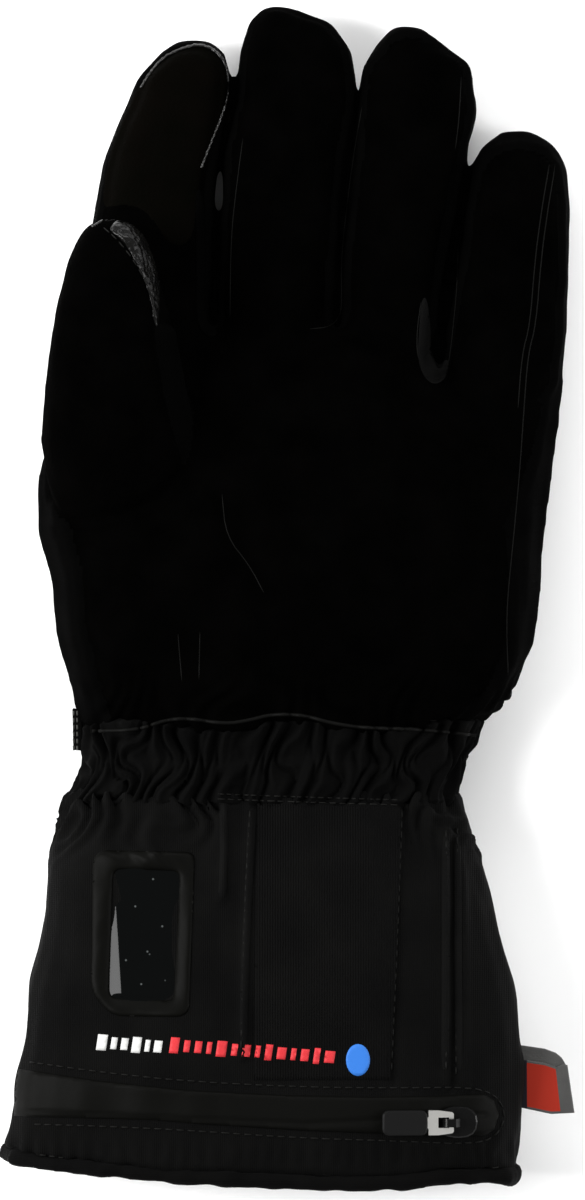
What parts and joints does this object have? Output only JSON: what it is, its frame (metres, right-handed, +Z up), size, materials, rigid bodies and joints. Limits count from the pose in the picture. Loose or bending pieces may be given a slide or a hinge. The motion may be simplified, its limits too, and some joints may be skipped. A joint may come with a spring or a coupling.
{
  "type": "heated glove",
  "caption": "Padded left-hand heated glove lying palm up: flared zip cuff, pleated wrist, battery pocket, clear controller window and a hinged zip pull.",
  "frame": {"origin": "middle of the bounding box's underside, on the surface that the glove lies on", "axes": "+X across the palm towards the little finger, +Y from the cuff to the fingertips, +Z up out of the palm"},
  "size_m": [0.1536, 0.3196, 0.0568],
  "materials": {
    "suede": "soft black suede-like palm cloth",
    "side_cloth": "matt black woven side cloth",
    "leather": "glossy grained black leather",
    "gather_cloth": "pleated matt black cloth",
    "cuff_cloth": "matt black shell cloth",
    "rib_cloth": "fine vertical rib weave",
    "coated_tape": "smooth coated satin black",
    "clear_film": "clear glossy film over a dark pocket",
    "gloss_black": "glossy black",
    "metal": "bright die-cast metal",
    "rubber_tab": "moulded matt black",
    "binding_tape": "woven black binding",
    "satin": "mauve-grey satin with a plain red block"
  },
  "bodies": {
    "glove": {"palm_panel": "suede", "back_panel": "suede", "thumb": "suede", "index_side_gusset": "side_cloth", "fourchette_index_middle": "side_cloth", "fourchette_middle_ring": "side_cloth", "fourchette_ring_little": "side_cloth", "little_side_gusset": "side_cloth", "thumb_gusset": "side_cloth", "thumb_leather_patch": "leather", "index_tip_patch": "leather", "wrist_gathers": "gather_cloth", "wrist_tab": "binding_tape", "cuff_panel": "cuff_cloth", "cuff_side_panel": "cuff_cloth", "pocket_panel": "rib_cloth", "window_frame": "coated_tape", "window_pane": "clear_film", "zip_tape": "coated_tape", "zip_slider": "gloss_black", "hem_binding": "binding_tape", "side_label": "satin"},
    "zip_pull": {"zip_pull_link": "metal", "zip_pull_tab": "rubber_tab"}
  },
  "joints": [
    {"name": "zip_pull_hinge", "type": "hinge", "parent": "glove", "child": "zip_pull", "pos_m": [0.04332, -0.1398, 0.04638], "axis": [0, 1, 0], "range_deg": [0, 170]}
  ]
}
